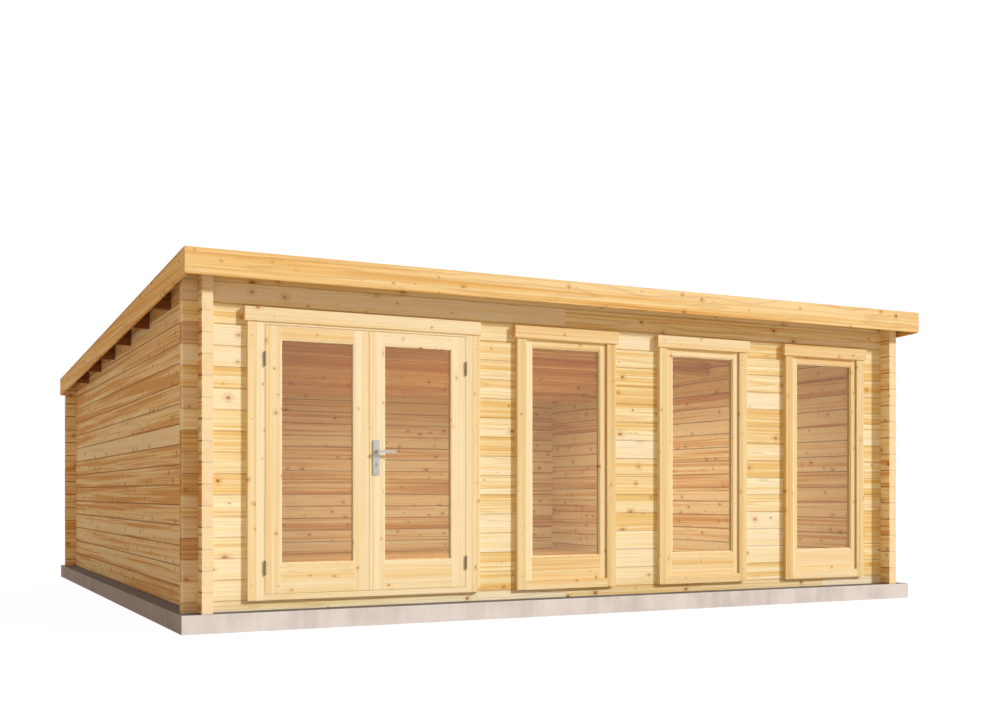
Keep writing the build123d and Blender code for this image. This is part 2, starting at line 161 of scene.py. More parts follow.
def board_cells(tree, grain, size, start, stagger, openings):
    """Cell number of the board at a point, and the point measured from the board's middle.

    Scaled place = (place - start) / size, slid along the grain by a random share in each row.
    The cell is its whole part, and the rest, less a half, times the size is the place inside.
    Openings give the first cell along, which takes in all before it, and the number of rows
    under which boards are cut: those above are whole.
    """
    shifted = add(tree, "VectorMath", 0, (grain, start), operation="SUBTRACT")
    scaled = add(tree, "VectorMath", 0, (shifted, size), operation="DIVIDE")
    row = add(tree, "VectorMath", 0, (scaled,), operation="FLOOR")
    level = add(tree, "VectorMath", 0, (row, (0, 1, 1)), operation="MULTIPLY")
    luck = add(tree, "TexWhiteNoise", "Value", (level,), noise_dimensions="3D")
    slide = add(tree, "Math", 0, (luck, stagger), operation="MULTIPLY")
    slide = add(tree, "CombineXYZ", 0, (slide,))
    moved = add(tree, "VectorMath", 0, (scaled, slide), operation="ADD")
    cell = add(tree, "VectorMath", 0, (moved,), operation="FLOOR")
    if openings:
        least, courses = openings
        parts = add(tree, "SeparateXYZ", 0, (cell,)).node.outputs
        along = add(tree, "Math", 0, (parts[0], least), operation="MAXIMUM")
        below = add(tree, "Math", 0, (parts[1], courses), operation="LESS_THAN")
        along = add(tree, "Math", 0, (along, below), operation="MULTIPLY")
        cell = add(tree, "CombineXYZ", 0, (along, parts[1], parts[2]))
    rest = add(tree, "VectorMath", 0, (moved,), operation="FRACTION")
    middle = add(tree, "VectorMath", 0, (rest, (0.5, 0.5, 0.5)), operation="SUBTRACT")
    return cell, add(tree, "VectorMath", 0, (middle, size), operation="MULTIPLY")


# %% [markdown]
# Knots are where a branch was cut through. A Voronoi pattern scatters one spot in each cell of a
# sheet that lies on the face. Its Position output lets the distance be taken in real
# millimetres, so that a knot is round whatever the shape of the cells. The grain flows round a
# knot, so a wider halo is kept as well, to push the rings aside.


# %% Knots
def knots(tree, grain, jump, gap, radius):
    """Heart and halo of knots: 1 in the middle, falling off with the distance over the radius.

    Half of the spots have next to no radius, so that the rest are unevenly spaced, as branches are.
    """
    sheet = add(tree, "VectorMath", 0, (grain, (*gap, 1)), operation="DIVIDE")
    sheet = add(tree, "VectorMath", 0, (sheet, jump), operation="ADD")
    spot = add(tree, "TexVoronoi", "Position", {"Vector": sheet, "Scale": 1.0, "Randomness": 0.85},
               voronoi_dimensions="2D")
    away = add(tree, "VectorMath", 0, (sheet, spot), operation="SUBTRACT")
    luck = add(tree, "SeparateColor", 0, (spot.node.outputs["Color"],)).node.outputs
    squash = add(tree, "MapRange", 0, {0: luck[1], 3: 0.55 * gap[0], 4: gap[0]})
    scale = add(tree, "CombineXYZ", 0, (squash, gap[1]))
    away = add(tree, "VectorMath", 0, (away, scale), operation="MULTIPLY")
    reach = add(tree, "VectorMath", "Value", (away,), operation="LENGTH")
    own = add(tree, "MapRange", 0, (luck[0], 0.45, 1.0, radius * 0.02, radius))
    near = add(tree, "Math", 0, (reach, own), operation="DIVIDE")
    heart = add(tree, "MapRange", 0, (near, 0.6, 1.25, 1.0, 0.0))
    depth = add(tree, "MapRange", 0, {0: luck[2], 3: 0.4, 4: 0.95})
    heart = add(tree, "Math", 0, (heart, depth), operation="MULTIPLY")
    halo = add(tree, "MapRange", 0, (near, 0.8, 4.0, 1.0, 0.0), interpolation_type="SMOOTHSTEP")
    return heart, halo


# %% [markdown]
# Rings are 1 to 3 mm apart on real spruce, which is finer than a picture of a whole cabin can
# show, so they are drawn some 10 mm apart. Each ring is pale early wood that darkens slowly to a
# thin band of late wood and then starts again, which is a saw-tooth of the distance to the trunk's
# axis. Slow noise bends the trunk, which makes the long arches of a flat-sawn face.


# %% Rings
def rings(tree, grain, inside, dice, halo, spacing):
    """Saw-tooth of (distance to the trunk's axis + slow noise + push of knots) / spacing."""
    luck = add(tree, "SeparateColor", 0, (dice,)).node.outputs
    side = add(tree, "MapRange", 0, {0: luck[0], 3: 0.1, 4: -0.1})
    depth = add(tree, "MapRange", 0, {0: luck[2], 3: -0.05, 4: -0.14})
    axis = add(tree, "CombineXYZ", 0, (0.0, side, depth))
    away = add(tree, "VectorMath", 0, (inside, axis), operation="SUBTRACT")
    away = add(tree, "VectorMath", 0, (away, (0, 1, 1)), operation="MULTIPLY")
    reach = add(tree, "VectorMath", "Value", (away,), operation="LENGTH")
    slow = add(tree, "VectorMath", 0, (grain, (0.7, 5, 5)), operation="MULTIPLY")
    slow = add(tree, "VectorMath", 0, (dice, (31, 47, 59), slow), operation="MULTIPLY_ADD")
    sway = add(tree, "TexNoise", 0, {"Vector": slow, "Scale": 1.0, "Detail": 2.0})
    bent = add(tree, "Math", 0, (sway, 0.07, reach), operation="MULTIPLY_ADD")
    pushed = add(tree, "Math", 0, (halo, 0.014, bent), operation="MULTIPLY_ADD")
    turns = add(tree, "Math", 0, (pushed, spacing), operation="DIVIDE")
    tooth = add(tree, "Math", 0, (turns,), operation="FRACT")
    return ramp(tree, tooth, [(0.0, "#101010"), (0.5, "#404040"), (0.86, "#FFFFFF"), (1.0, "#101010")])


# %% [markdown]
# The colour of a board is a mix of its own tone, slow streaks along it, the rings and the knots.
# Planed and unpainted wood is fairly matt, and its late wood is harder and a little smoother, so
# roughness follows the rings, and a faint bump follows the fibres. End grain soaks up more of the
# light between its open cells, so it is darker than the faces. Near their ends some boards are
# darker still: rain stain and painted shade on the front logs, painted shade on the purlins.
#
# Where two logs meet, their chamfers make a V that gathers shade and dust. It is 8 mm wide, less
# than a dot of the picture, so its shade and dust are painted as a dark line twice as wide as the
# real one. Floor boards that meet end to end show a thin dark joint.


# %% Streaks, and the dark lines where boards meet
def streaks(tree, grain, dice, scale, detail):
    """Noise stretched along the grain, at another place for each board."""
    wide = add(tree, "VectorMath", 0, (grain, scale), operation="MULTIPLY")
    wide = add(tree, "VectorMath", 0, (dice, (31, 47, 59), wide), operation="MULTIPLY_ADD")
    return add(tree, "TexNoise", 0, {"Vector": wide, "Scale": 1.0, "Detail": detail})


def seam(tree, inside, axis, length, width):
    """1 at both ends of a board along one axis, 0 a width away from them."""
    part = add(tree, "SeparateXYZ", 0, (inside,)).node.outputs[axis]
    reach = add(tree, "Math", 0, (part,), operation="ABSOLUTE")
    return add(tree, "MapRange", 0, (reach, length / 2 - width, length / 2 - width * 0.3, 0.0, 1.0))


# %% Timber
def timber(name, along, size, start, tones, late, knot, end, spread=0.3, drift=0.4, stagger=0.0,
           openings=None, spacing=11 * MM, gap=(0.23, 0.15), radius=15 * MM, depth=0.45, lines=0.0,
           stain_and_shade_reach=None, stain_and_shade_tones=("#DCA862", "#A2642A")):
    """Material of planed boards of a size from a start, with the grain along an axis.

    Tone = own tone of the board + slow and fine streaks. Colour = ramp of the tone, mixed to the
    late wood by the rings, to the knot colour by the knots, and to the end colour on the ends.
    The stain's reach is a pair of distances from the origin, along the grain, between which the
    darkening near the ends grows to its full strength: partly rain stain, partly painted shade.
    Lines is the strength of the dark lines along the long edges: painted shade and dust of the V.
    """
    made, tree = new_material(name)
    grain = grain_space(tree, along)
    cell, inside = board_cells(tree, grain, size, start, stagger, openings)
    dice = add(tree, "TexWhiteNoise", "Color", (cell,), noise_dimensions="3D")
    luck = add(tree, "SeparateColor", 0, (dice,)).node.outputs
    shift = add(tree, "Math", 0, (luck[1], 17.0), operation="MULTIPLY")
    jump = add(tree, "CombineXYZ", 0, (shift, -start[1] / gap[1]))
    heart, halo = knots(tree, grain, jump, gap, radius)
    band = rings(tree, grain, inside, dice, halo, spacing)
    fibre = streaks(tree, grain, dice, (2, 160, 160), 3.0)
    thin = streaks(tree, grain, dice, (0.6, 70, 70), 2.0)
    wide = streaks(tree, grain, dice, (0.3, 20, 20), 2.0)

    own = add(tree, "MapRange", 0, {0: luck[0], 3: 0.5 - spread, 4: 0.5 + spread})
    slow = add(tree, "MapRange", 0, (wide, 0.3, 0.7, -drift, drift))
    tone = add(tree, "Math", 0, (own, slow), operation="ADD")
    fine = add(tree, "MapRange", 0, (thin, 0.3, 0.7, -0.8 * drift, 0.8 * drift))
    tone = add(tree, "Math", 0, (tone, fine), operation="ADD", use_clamp=True)
    ground = ramp(tree, tone, [(0.0, tones[0]), (0.5, tones[1]), (1.0, tones[2])])
    strength = add(tree, "MapRange", 0, (fibre, 0.3, 0.7, 0.4 * depth, depth))
    mark = add(tree, "Math", 0, (band, strength), operation="MULTIPLY")
    colour = add(tree, "Mix", 2, {0: mark, 6: ground, 7: linear(late)}, data_type="RGBA")
    glow = add(tree, "Math", 0, (halo, 0.3), operation="MULTIPLY")
    colour = add(tree, "Mix", 2, {0: glow, 6: colour, 7: linear(late)}, data_type="RGBA")
    colour = add(tree, "Mix", 2, {0: heart, 6: colour, 7: linear(knot)}, data_type="RGBA")

    facing = add(tree, "SeparateXYZ", 0, (grain_space(tree, along, "Normal"),))
    facing = add(tree, "Math", 0, (facing,), operation="ABSOLUTE")
    on_end = add(tree, "MapRange", 0, (facing, 0.5, 0.9, 0.0, 1.0))
    soak_luck = add(tree, "MapRange", 0, {0: luck[2], 3: end[1], 4: end[2]})
    soak = add(tree, "Math", 0, (on_end, soak_luck), operation="MULTIPLY")
    mark = add(tree, "Math", 0, (band, 0.25), operation="MULTIPLY")
    cut = add(tree, "Mix", 2, {0: mark, 6: linear(end[0]), 7: linear(late)}, data_type="RGBA")
    colour = add(tree, "Mix", 2, {0: soak, 6: colour, 7: cut}, data_type="RGBA")
    # Darkening near the ends, between the two reach distances: rain stain and painted shade on the front
    # logs' ends past the corners, painted shade alone on the purlins under the eaves.
    if stain_and_shade_reach:
        reach = add(tree, "Math", 0, (add(tree, "SeparateXYZ", 0, (grain,)),), operation="ABSOLUTE")
        stain_and_shade_share = add(tree, "MapRange", 0, (reach, *stain_and_shade_reach, 0.0, 1.0), interpolation_type="SMOOTHSTEP")
        stain_and_shade_share = add(tree, "Math", 0, (stain_and_shade_share, soak_luck), operation="MULTIPLY")
        stain_and_shade_colour = ramp(tree, thin, [(0.36, stain_and_shade_tones[0]), (0.64, stain_and_shade_tones[1])])
        colour = add(tree, "Mix", 2, {0: stain_and_shade_share, 6: colour, 7: stain_and_shade_colour}, data_type="RGBA")
    # Painted shade and dust of the V between logs: a dark line along each long edge, weaker on the ends.
    if lines:
        dark = seam(tree, inside, 1, size[1], 8 * MM)
        lit = add(tree, "MapRange", 0, (on_end, 0.0, 1.0, lines, 0.25 * lines))
        dark = add(tree, "Math", 0, (dark, lit), operation="MULTIPLY")
        colour = add(tree, "Mix", 2, {0: dark, 6: colour, 7: linear("#9A6026")}, data_type="RGBA")
    if stagger:
        dark = seam(tree, inside, 0, size[0], 4 * MM)
        dark = add(tree, "Math", 0, (dark, 0.7), operation="MULTIPLY")
        colour = add(tree, "Mix", 2, {0: dark, 6: colour, 7: linear(knot)}, data_type="RGBA")

    height = add(tree, "Math", 0, (fibre, 0.7, band), operation="MULTIPLY_ADD")
    normal = add(tree, "Bump", 0, {"Height": height, "Strength": 0.25, "Distance": 0.4 * MM})
    matt = add(tree, "MapRange", 0, {0: band, 3: 0.75, 4: 0.62})
    surface = add(tree, "BsdfPrincipled", 0, {"Base Color": colour, "Roughness": matt, "Normal": normal,
                                              "Specular IOR Level": 0.1})
    add(tree, "OutputMaterial", None, {"Surface": surface})
    return made


# %% [markdown]
# Log walls
#
# The front logs are cut short by the doors and windows, so the pieces beside an opening come from
# different trunks, and those above the openings run from corner to corner, as do all logs of the
# rear and side walls. The front and rear courses lie half a log lower than the side ones, as their
# notches need. The rear and side walls are of a deeper honey colour than the front, which is painted
# shade. Past the corners the front logs are darker, some more than others: partly rain that their
# end grain drinks, partly painted shade.

# %% Finish of the walls
SPRUCE = dict(late="#C48E42", knot="#A15C22")
FRESH = ("#FFF9DE", "#FBEFC0", "#EDCE86")
# Deeper tones of the rear and side walls: painted shade, the front's wood darkened as the left wall stands
# in shade; the right wall shares them.
SHADE_DEEPENED_TONES = ("#FEF3CC", "#FAE4AE", "#E0B06A")
# End colours: end grain is darker than the faces, but the pale cut on the side logs' ends, which face the
# sun, is partly painted light, and the dark cut on the front logs' ends, whose left ones stand in shade, is
# partly painted shade.
PALE_CUT = ("#FDEFC6", 0.8, 1.0)
DARK_CUT = ("#B06C26", 0.0, 0.8)
WHOLE = 9.0
WINDOW_STEP = 1.34
BEFORE_WINDOWS = -0.26
FULL_COURSES = 14.5

wall_to_wall = rear_middle - front_middle
# Past the corners the front logs are darkened: partly rain stain, partly painted shade.
front_logs = timber(
    "planed_spruce_front_logs", "X", (WINDOW_STEP, LOG, wall_to_wall),
    (BEFORE_WINDOWS, base_top - LOG / 2, front_middle - wall_to_wall / 2),
    tones=FRESH, end=DARK_CUT, spread=0.42, lines=0.3, openings=(-2, FULL_COURSES),
    stain_and_shade_reach=(-side_middle - 2 * MM, -side_middle + 45 * MM), **SPRUCE)
rear_logs = timber(
    "planed_spruce_rear_logs", "X", (WHOLE, LOG, wall_to_wall),
    (-WHOLE / 2, base_top - LOG / 2, front_middle - wall_to_wall / 2),
    tones=SHADE_DEEPENED_TONES, end=DARK_CUT, spread=0.45, drift=0.6, lines=0.75, gap=(0.17, 0.15), **SPRUCE)
side_logs = timber(
    "planed_spruce_side_logs", "Y", (WHOLE, LOG, -2 * side_middle),
    (-WHOLE / 2, base_top, 2 * side_middle),
    tones=SHADE_DEEPENED_TONES, end=PALE_CUT, spread=0.45, drift=0.6, lines=0.75, gap=(0.15, 0.15), **SPRUCE)


def dress(names, material):
    """Give some CAD nodes one material."""
    for name in names:
        nodes[name].data.materials.clear()
        nodes[name].data.materials.append(material)
    print(material.name, "on", *names)


dress(["front_wall_logs_even", "front_wall_logs_odd"], front_logs)
dress(["rear_wall_logs_even", "rear_wall_logs_odd"], rear_logs)
dress([f"{side}_wall_logs_{half}" for side in ("left", "right") for half in ("even", "odd")], side_logs)

# %% [markdown]
# Joinery
#
# Frames, sashes and trims are made of sorted spruce with few and small knots, so they are paler
# and calmer than the logs. Uprights have their grain along Z and rails along X, as every joiner
# sets them. The trims and rails of the windows come from a yellower batch than the doors, so they
# have tones of their own. A piece in front of another is told from it by its layer.

# %% Finish of the joinery
PALE = dict(tones=("#FEF7D8", "#F9EBC0", "#F2D89C"), late="#D2A45A", knot="#B5742E",
            end=("#D9A55C", 0.2, 0.5), drift=0.35, radius=9 * MM, spacing=9 * MM, depth=0.3)
LAYER = 1.0
UPRIGHT_START = -4.0
frame_back = front_middle - LAYER / 2
left_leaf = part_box("door_left_stiles")
right_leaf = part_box("door_right_stiles")
HALF_LEAF = (right_leaf[1].x - left_leaf[0].x) / 4
UPRIGHT = (0.17, 0.12)
FLAT = (0.17, 0.13)
AMBER = dict(PALE, tones=("#FCF0CA", "#F5E0AE", "#EBC988"))
DEEP = dict(PALE, tones=("#F4E7BA", "#EDD69E", "#E3C07C"))
RAIL_ROW = 0.46
RAIL_BOTTOM = 0.2
JOINERY = {
    "spruce_door_stiles": (
        PALE, "Z", HALF_LEAF, left_leaf[0].x, 0, UPRIGHT, ["door_left_stiles", "door_right_stiles"]),
    "spruce_door_trims": (
        PALE, "Z", WINDOW_STEP / 2, BEFORE_WINDOWS, 1, UPRIGHT, ["door_trims"]),
    "spruce_window_trims": (
        DEEP, "Z", WINDOW_STEP / 2, BEFORE_WINDOWS, 1, UPRIGHT, ["window_trims"]),
    "spruce_jambs": (
        PALE, "Z", WINDOW_STEP / 2, BEFORE_WINDOWS, 0, UPRIGHT,
        ["door_jambs", "window_jambs", "window_sash_stiles"]),
    "spruce_door_rails": (
        PALE, "X", 2 * HALF_LEAF, left_leaf[0].x, 0, FLAT, ["door_left_rails", "door_right_rails"]),
    "spruce_long_rails": (
        PALE, "X", WHOLE, left_face, 1, FLAT, ["door_head", "door_sill", "door_lintel"]),
    "spruce_window_rails": (
        AMBER, "X", WINDOW_STEP, BEFORE_WINDOWS - WINDOW_STEP / 2, 0, FLAT,
        ["window_heads_and_sills", "window_sash_rails", "window_sill_trims", "window_lintels"]),
}
joinery = {}
for name, (wood, along, step, first, layer, gap, fitted) in JOINERY.items():
    if along == "Z":
        size = (WHOLE, step, LAYER)
        start = (UPRIGHT_START, first, frame_back - layer * LAYER)
    else:
        size = (step, RAIL_ROW, LAYER)
        start = (first, RAIL_BOTTOM, frame_back - layer * LAYER)
    joinery[name] = timber(name, along, size, start, gap=gap, **wood)
    dress(fitted, joinery[name])

# %% [markdown]
# Edge boards and purlins
#
# The boards round the roof and the purlins are broad and cut from the middle of the trunk, so they
# have more and larger knots than the joinery, and a warmer tone than the walls. Each is one length.
# Where the purlins pass out through the side walls they are painted a deep brown, which stands for
# the shade under the side eaves.

# %% Finish of the roof timber
ROOF = dict(tones=("#FAE5B0", "#F0CC86", "#DFA95A"), late="#BC8036", knot="#8F501E", end=DARK_CUT,
            drift=0.4, radius=13 * MM, spacing=13 * MM, depth=0.35)
OUTSIDE = (-left_face - 20 * MM, -left_face + 5 * MM)
EDGE_ROW = 0.35
SLOPED_ROW = 0.75
SIDE_CELL = 3.0
FLAT_START = (-WHOLE / 2, cad_high.z - 0.32, -LAYER / 2)
SLOPED_START = (-WHOLE / 2, cad_high.z - 0.72, -SIDE_CELL / 2)
edge_x = timber("spruce_edge_boards_front", "X", (WHOLE, EDGE_ROW, LAYER), FLAT_START,
                gap=(0.18, 0.175), **ROOF)
# Painted shade: past the side walls the purlins and their ends are a deep brown, as the shade under the
# side eaves.
purlin_wood = timber("spruce_purlins", "X", (WHOLE, EDGE_ROW, LAYER), FLAT_START,
                     gap=(0.18, 0.175), stain_and_shade_reach=OUTSIDE, stain_and_shade_tones=("#8C5C30", "#6C4220"),
                     **dict(ROOF, end=("#8A5A2C", 0.9, 1.0)))
edge_y = timber("spruce_edge_boards_side", "Y", (WHOLE, SLOPED_ROW, SIDE_CELL), SLOPED_START,
                gap=(0.16, 0.15), **ROOF)
dress(["fascia_front", "fascia_rear"], edge_x)
dress(["purlins"], purlin_wood)
dress(["barge_board_left", "barge_board_right"], edge_y)

# %% [markdown]
# Treated bearers
#
# The timbers under the floor are pressure treated against rot, which leaves a green cast. They are
# the same wood, so the same function makes them, with greener colours.

# %% Finish of the bearers
BEARER_STEP = 0.566
FIRST_BEARER = -3.13
treated = timber("treated_spruce_bearers", "Y", (WHOLE, 0.5, BEARER_STEP), (-WHOLE / 2, 0.0, FIRST_BEARER),
                 tones=("#A9A270", "#948D5E", "#7D7649"), late="#5E5834", knot="#43391F",
                 end=("#6E6840", 0.3, 0.7))
dress(["floor_bearers"], treated)

# %% [markdown]
# Cast concrete
#
# The base is cast in a timber form: it is a plain pale grey, slightly cloudy where the mix
# settled, with the upright marks of the form boards, and with small pits where air was trapped.
# The marks are about 90 mm apart, and pits are 4 to 8 mm wide. Its top and its left side are
# brought to a darker grey, which is painted shade, and the normal of the surface picks them out.


# %% Concrete
def make_concrete():
    """Cloud noise, upright streaks that repeat with the form boards, and Voronoi pits."""
    made, tree = new_material("cast_concrete")
    place = add(tree, "TexCoord", "Object")
    cloud = add(tree, "TexNoise", 0, {"Vector": place, "Scale": 3.0, "Detail": 6.0})
    tall = add(tree, "VectorMath", 0, (place, (11, 11, 1.2)), operation="MULTIPLY")
    marks = add(tree, "TexNoise", 0, {"Vector": tall, "Scale": 1.0, "Detail": 3.0})
    grit = add(tree, "TexNoise", 0, {"Vector": place, "Scale": 160.0, "Detail": 2.0})
    both = add(tree, "Math", 0, (marks, 0.6, cloud), operation="MULTIPLY_ADD")
    tone = add(tree, "MapRange", 0, (both, 0.55, 1.05, 0.0, 1.0))
    ground = ramp(tree, tone, [(0.0, "#CDCACB"), (0.5, "#DDDCDE"), (1.0, "#E6E6E9")])
    # Painted shade: the top and the left side are darkened towards a bluish grey, picked out by the normal.
    side = add(tree, "SeparateXYZ", 0, (add(tree, "TexCoord", "Normal"),)).node.outputs
    left = add(tree, "MapRange", 0, (side[0], -0.9, -0.3, 0.5, 0.0))
    top = add(tree, "MapRange", 0, (side[2], 0.3, 0.9, 0.0, 0.95))
    painted_shade_share = add(tree, "Math", 0, (left, top), operation="MAXIMUM")
    ground = add(tree, "Mix", 2, {0: painted_shade_share, 6: ground, 7: linear("#67646C")}, data_type="RGBA")
    # Pits are coloured a darker grey as well as sunk by the bump: painted shade in their hollows.
    cells = add(tree, "TexVoronoi", "Distance", {"Vector": place, "Scale": 28.0})
    hole = add(tree, "MapRange", 0, (cells, 0.05, 0.12, 1.0, 0.0))
    rare = add(tree, "SeparateColor", 0, (cells.node.outputs["Color"],))
    rare = add(tree, "Math", 0, (rare, 0.72), operation="GREATER_THAN")
    pit = add(tree, "Math", 0, (hole, rare), operation="MULTIPLY")
    colour = add(tree, "Mix", 2, {0: pit, 6: ground, 7: linear("#8F877C")}, data_type="RGBA")
    height = add(tree, "Math", 0, (pit, -1.5, grit), operation="MULTIPLY_ADD")
    normal = add(tree, "Bump", 0, {"Height": height, "Strength": 0.4, "Distance": 1.5 * MM})
    surface = add(tree, "BsdfPrincipled", 0, {"Base Color": colour, "Roughness": 0.88, "Normal": normal,
                                              "Specular IOR Level": 0.3})
    add(tree, "OutputMaterial", None, {"Surface": surface})
    return made


concrete = make_concrete()
dress(["concrete_base"], concrete)

# %% [markdown]
# Roof membrane
#
# A low roof like this is covered with bitumen felt with crushed slate on it. The grains are 1 mm
# across. They are drawn as 4 mm so that they show, and they give a dull surface with a faint
# glitter of lighter and darker grey. Slow noise adds the dust that rain leaves behind. Felt comes
# in rolls a metre wide, and no two are quite the same grey. They run along X, and the place down
# the slope tells which roll a point is on, with a dark line of bitumen at each lap. Where the
# sheet is turned down over the edge boards it wears a sand coloured strip, so no dark line is seen
# from below. The strip is told from the sheet by the slope of the surface.


# %% Felt
ROLL = 0.95
roof_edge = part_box("roof_covering")[1]


def make_felt(name, strip_share):
    """Grey of Voronoi grains + slow noise + a step for each roll, with sand on upright faces.

    The roll number is the whole part of the place down the slope over the width of a roll.
    """
    made, tree = new_material(name)
    place = add(tree, "TexCoord", "Object")
    grains = add(tree, "TexVoronoi", "Distance", {"Vector": place, "Scale": 1 / (4 * MM)})
    luck = add(tree, "SeparateColor", 0, (grains.node.outputs["Color"],))
    dust = add(tree, "TexNoise", 0, {"Vector": place, "Scale": 3.5, "Detail": 8.0, "Roughness": 0.65})
    down = add(tree, "SeparateXYZ", "Y", (place,))
    rolls = add(tree, "Math", 0, (down, -1 / ROLL, roof_edge.y / ROLL), operation="MULTIPLY_ADD")
    number = add(tree, "Math", 0, (rolls,), operation="FLOOR")
    roll_luck = add(tree, "TexWhiteNoise", "Value", {"W": number}, noise_dimensions="1D")
    tone = add(tree, "Math", 0, (roll_luck, 0.35), operation="MULTIPLY")
    tone = add(tree, "Math", 0, (luck, 0.3, tone), operation="MULTIPLY_ADD")
    tone = add(tree, "Math", 0, (dust, 0.65, tone), operation="MULTIPLY_ADD", use_clamp=True)
    colour = ramp(tree, tone, [(0.2, "#323234"), (0.6, "#4A494C"), (1.0, "#68666A")])
    rest = add(tree, "Math", 0, (rolls,), operation="FRACT")
    lap = add(tree, "MapRange", 0, (rest, 0.012, 0.02, 0.8, 0.0))
    colour = add(tree, "Mix", 2, {0: lap, 6: colour, 7: linear("#1D1C1D")}, data_type="RGBA")
    slope = add(tree, "SeparateXYZ", "Z", (add(tree, "TexCoord", "Normal"),))
    strip = add(tree, "MapRange", 0, (slope, 0.3, 0.6, strip_share, 0.0))
    colour = add(tree, "Mix", 2, {0: strip, 6: colour, 7: linear("#D8B27C")}, data_type="RGBA")
    normal = add(tree, "Bump", 0, {"Height": grains, "Strength": 0.5, "Distance": 1 * MM})
    surface = add(tree, "BsdfPrincipled", 0, {"Base Color": colour, "Roughness": 0.85, "Normal": normal,
                                              "Specular IOR Level": 0.3})
    add(tree, "OutputMaterial", None, {"Surface": surface})
    return made


dress(["roof_covering"], make_felt("slate_felt", 1.0))

# %% [markdown]
# Satin steel
#
# The handle is stainless steel, brushed upright. Brushing leaves fine parallel scratches, which
# spread a highlight across them. They are far finer than a millimetre, but are drawn 1 mm apart so
# that they show. The hinges are zinc plated, which is darker and duller: the same function makes
# them from other greys.


# %% Steel
def make_steel(name, dark, light, rough):
    """Metal whose roughness and bump follow noise stretched along Z."""
    made, tree = new_material(name)
    place = add(tree, "TexCoord", "Object")
    fine = add(tree, "VectorMath", 0, (place, (900, 900, 25)), operation="MULTIPLY")
    scratch = add(tree, "TexNoise", 0, {"Vector": fine, "Scale": 1.0, "Detail": 2.0})
    matt = add(tree, "MapRange", 0, {0: scratch, 3: rough - 0.08, 4: rough + 0.08})
    shade = add(tree, "Mix", 2, {0: scratch, 6: linear(dark), 7: linear(light)}, data_type="RGBA")
    normal = add(tree, "Bump", 0, {"Height": scratch, "Strength": 0.15, "Distance": 0.2 * MM})
    surface = add(tree, "BsdfPrincipled", 0, {"Base Color": shade, "Metallic": 1.0, "Roughness": matt,
                                              "Normal": normal})
    add(tree, "OutputMaterial", None, {"Surface": surface})
    return made


steel = make_steel("brushed_stainless_steel", "#96938E", "#C9C6C0", 0.38)
dress([name for name in nodes if "handle" in name], steel)
hinge_steel = make_steel("zinc_plated_hinges", "#6F6A62", "#96918A", 0.5)
dress([name for name in nodes if "hinges" in name], hinge_steel)

# %% [markdown]
# Clear glass
#
# A sealed unit of two panes lets nearly all light through, and mirrors more of it the flatter it
# is looked at. Real refraction would need many light paths for a thin pane, so the shader mixes a
# see-through part with a sharp mirror, in Schlick's way: the mirror's share is 4% face on and
# grows with the fifth power of one less the cosine of the angle.


# %% Glass
def make_glass():
    """Mix of clear and mirror by 0.04 + 0.96 * (1 - cosine) ** 5."""
    made, tree = new_material("clear_float_glass")
    clear = add(tree, "BsdfTransparent", 0, (linear("#F9FBFA"),))
    ripple = add(tree, "TexNoise", 0, {"Vector": add(tree, "TexCoord", "Object"), "Scale": 1.5})
    normal = add(tree, "Bump", 0, {"Height": ripple, "Strength": 0.05, "Distance": 1 * MM})
    mirror = add(tree, "BsdfAnisotropic", 0, {"Color": (1, 1, 1, 1), "Roughness": 0.02, "Normal": normal})
    facing = add(tree, "LayerWeight", "Facing", (0.5,))
    steep = add(tree, "Math", 0, (facing, 5.0), operation="POWER")
    share = add(tree, "MapRange", 0, {0: steep, 3: 0.04, 4: 1.0})
    add(tree, "OutputMaterial", None, (add(tree, "MixShader", 0, (share, clear, mirror)),))
    return made


glass = make_glass()
dress([name for name in nodes if "glass" in name], glass)

# %% [markdown]
# Shapes as arrays
#
# The small parts are bars with a constant section, frames with mitred corners and turned pieces.
# Each kind is one formula over whole arrays: no vertex is placed by hand. A function of its own
# turns the arrays into a piece that rides on a body, with its faces turned outwards.


# %% From arrays to a piece
def piece(name, points, faces, material, slot, body="root"):
    """Mesh object from an array of points and a list of faces, riding on a body."""
    mesh = bpy.data.meshes.new(name)
    mesh.from_pydata(np.asarray(points).reshape(-1, 3).tolist(), [], faces)
    shell = bmesh.new()
    shell.from_mesh(mesh)
    bmesh.ops.recalc_face_normals(shell, faces=shell.faces)
    shell.to_mesh(mesh)
    shell.free()
    mesh.materials.append(material)
    made = bpy.data.objects.new(name, mesh)
    bpy.context.scene.collection.objects.link(made)
    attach(made, body)
    print(name, "has", len(mesh.polygons), "faces")
    return made


def tube_faces(count, rows, ring, closed):
    """Faces of count shells, each of some rows of ring points, capped unless the rows close up."""
    place = np.arange(ring)
    after = (place + 1) % ring
    quad = np.stack([place, after, after + ring, place + ring], 1)
    steps = np.arange(rows if closed else rows - 1)
    quads = (quad[None] + steps[:, None, None] * ring) % (rows * ring)
    starts = np.arange(count) * rows * ring
    faces = (quads.reshape(-1, 4)[None] + starts[:, None, None]).reshape(-1, 4).tolist()
    if not closed:
        faces += (place[::-1][None] + starts[:, None]).tolist()
        faces += (place[None] + starts[:, None] + (rows - 1) * ring).tolist()
    return faces


def bars(profile, starts, ends, across, up):
    """Straight bars: each profile point (a, b) lies at the start and at the end + a * across + b * up."""
    profile = np.asarray(profile, float)
    spread = profile[:, :1] * np.asarray(across, float) + profile[:, 1:] * np.asarray(up, float)
    ends = np.stack([np.atleast_2d(starts), np.atleast_2d(ends)], 1)
    points = ends[:, :, None, :] + spread
    return points, tube_faces(len(points), 2, len(profile), False)


